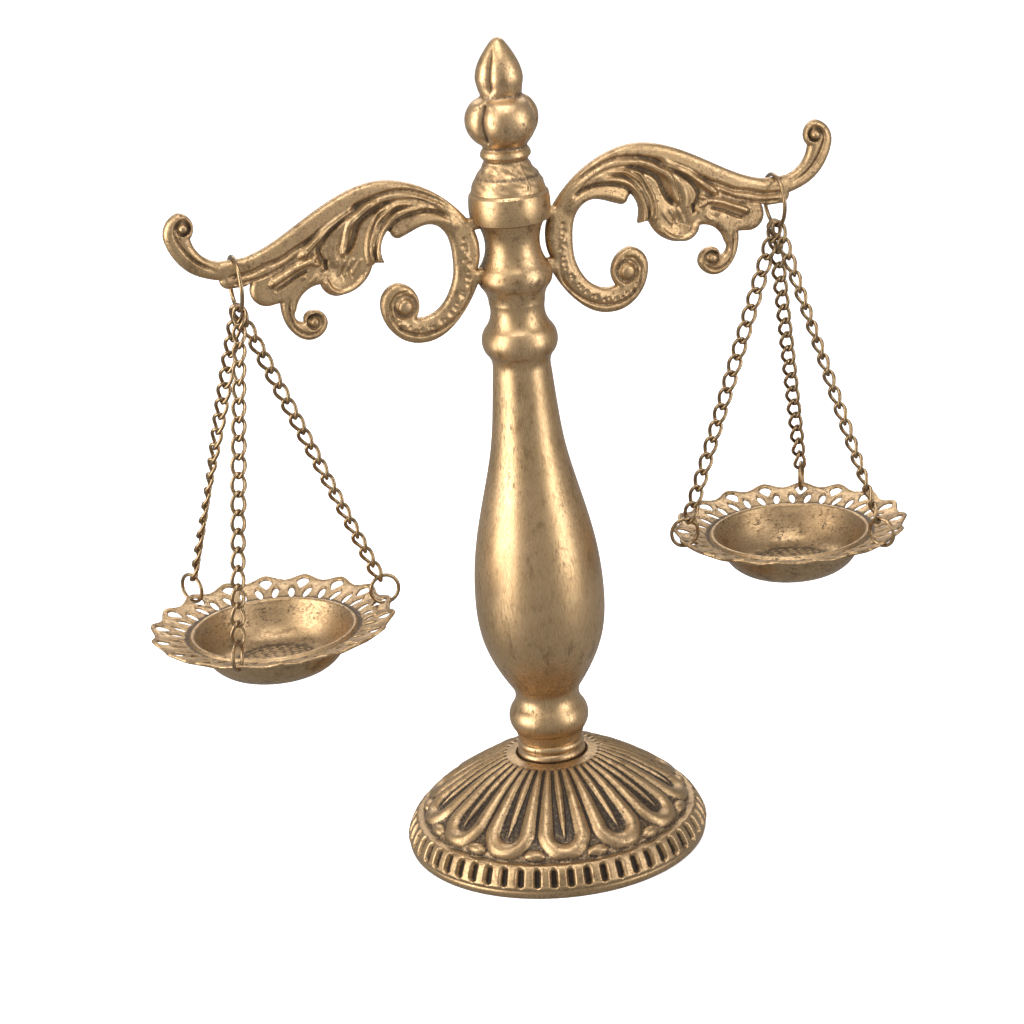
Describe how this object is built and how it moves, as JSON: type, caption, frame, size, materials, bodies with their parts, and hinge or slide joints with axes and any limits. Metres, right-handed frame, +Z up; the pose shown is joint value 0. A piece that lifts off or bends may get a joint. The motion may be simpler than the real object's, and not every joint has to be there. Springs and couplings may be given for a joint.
{
  "type": "weighing scale",
  "caption": "Ornamental brass balance scale: fluted round foot, vase column, scrolled arms, bud finial, and pierced pans hung on chains.",
  "frame": {"origin": "middle of the underside of the foot", "axes": "+Z up the column, +X along the beam to the right-hand pan, -Y towards the front"},
  "size_m": [0.257, 0.1, 0.27],
  "materials": {
    "cast_brass": "antiqued, dark in the hollows",
    "turned_brass": "antiqued, brushed",
    "pan_brass": "antiqued, stamped",
    "wire_brass": "antiqued wire",
    "steel_fixings": "plated"
  },
  "bodies": {
    "stand": {"base": "cast_brass", "tie_rod": "steel_fixings", "rod_washer": "steel_fixings", "rod_nut": "steel_fixings", "lower_collar": "turned_brass", "column": "turned_brass", "beam_hub": "turned_brass", "left_arm": "cast_brass", "right_arm": "cast_brass", "finial": "cast_brass"},
    "left_ring": {"left_hang_ring": "wire_brass"},
    "left_pan_set": {"left_pan": "pan_brass", "left_inner_chain": "wire_brass", "left_front_chain": "wire_brass", "left_back_chain": "wire_brass", "left_inner_rim_ring": "wire_brass", "left_front_rim_ring": "wire_brass", "left_back_rim_ring": "wire_brass"},
    "right_ring": {"right_hang_ring": "wire_brass"},
    "right_pan_set": {"right_pan": "pan_brass", "right_inner_chain": "wire_brass", "right_front_chain": "wire_brass", "right_back_chain": "wire_brass", "right_inner_rim_ring": "wire_brass", "right_front_rim_ring": "wire_brass", "right_back_rim_ring": "wire_brass"}
  },
  "joints": [
    {"name": "left_ring_swing", "type": "hinge", "parent": "stand", "child": "left_ring", "pos_m": [-0.0895, 0, 0.211], "axis": [1, 0, 0], "range_deg": [-25, 25]},
    {"name": "left_pan_swing", "type": "hinge", "parent": "left_ring", "child": "left_pan_set", "pos_m": [-0.0895, 0, 0.19728], "axis": [0, 1, 0], "range_deg": [-15, 15]},
    {"name": "right_ring_swing", "type": "hinge", "parent": "stand", "child": "right_ring", "pos_m": [0.0895, 0, 0.211], "axis": [1, 0, 0], "range_deg": [-25, 25]},
    {"name": "right_pan_swing", "type": "hinge", "parent": "right_ring", "child": "right_pan_set", "pos_m": [0.0895, 0, 0.19728], "axis": [0, 1, 0], "range_deg": [-15, 15]}
  ]
}
